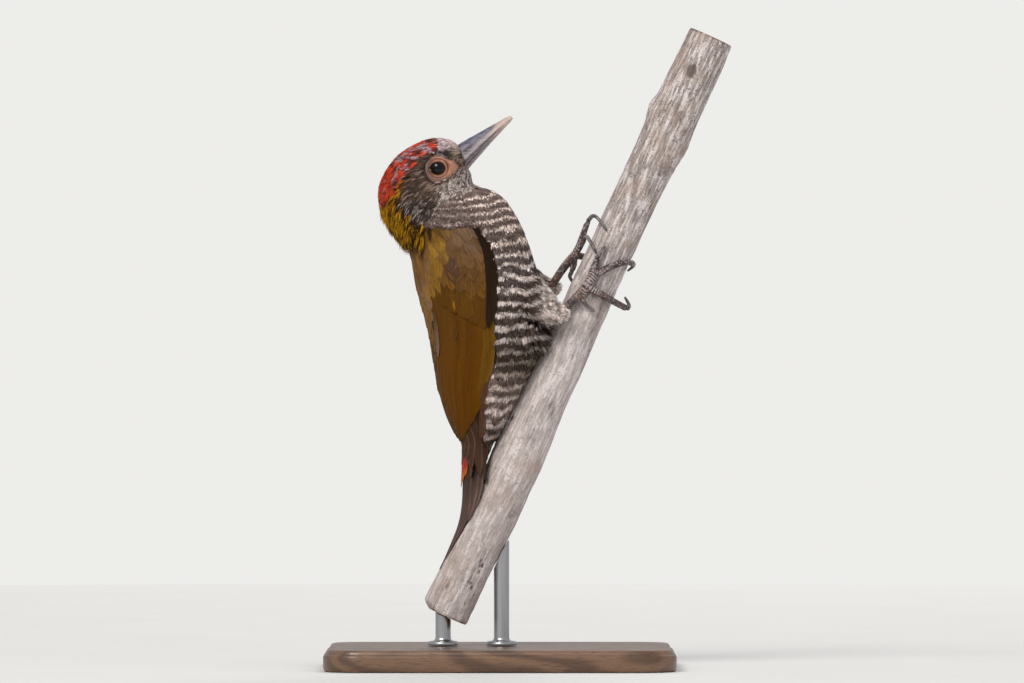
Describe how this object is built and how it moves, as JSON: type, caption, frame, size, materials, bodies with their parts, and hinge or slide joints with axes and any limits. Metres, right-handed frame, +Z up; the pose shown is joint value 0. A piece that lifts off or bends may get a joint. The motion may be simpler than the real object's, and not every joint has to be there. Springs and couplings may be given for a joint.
{
  "type": "woodpecker model on a branch",
  "caption": "Still life-size male red-rumped woodpecker clinging to a cut branch, with red crown, golden back and barred belly, held by a plain display stand.",
  "frame": {"origin": "middle of the underside of the base, on the surface the model stands on", "axes": "+Z up; +X towards the bird's belly side, the way the branch leans; -Y towards the bird's right side"},
  "size_m": [0.1304, 0.084, 0.2051],
  "materials": {
    "crown_plumage": "red crown over grey-brown face feathers",
    "nape_plumage": "yellow nape over fine grey streaks",
    "barred_plumage": "dark brown feathers with whitish bars",
    "golden_plumage": "golden olive wing feathers",
    "tail_plumage": "stiff dark brown tail feathers",
    "bill_dark": "blue-grey horn",
    "bill_pale": "pale horn",
    "eye": "very dark brown, wet gloss",
    "leg_skin": "grey olive scaled skin",
    "claw": "dark grey horn with pale ridges",
    "bark": "pale grey bark with dark specks",
    "stand_wood": "dark oiled wood",
    "stand_steel": "brushed"
  },
  "bodies": {
    "root": {"bill_lower": "bill_pale", "bill_upper": "bill_dark", "claw_hind_left": "claw", "claw_hind_right": "claw", "claw_inner_left": "claw", "claw_inner_right": "claw", "claw_middle_left": "claw", "claw_middle_right": "claw", "claw_outer_left": "claw", "claw_outer_right": "claw", "eye_left": "eye", "eye_right": "eye", "head": "crown_plumage", "leg_left": "leg_skin", "leg_right": "leg_skin", "neck": "nape_plumage", "perch": "bark", "stand_base": "stand_wood", "stand_rod_end": "stand_steel", "stand_rod_side": "stand_steel", "tail": "tail_plumage", "thigh_left": "barred_plumage", "thigh_right": "barred_plumage", "trunk": "barred_plumage", "wing_left": "golden_plumage", "wing_right": "golden_plumage"}
  },
  "joints": []
}
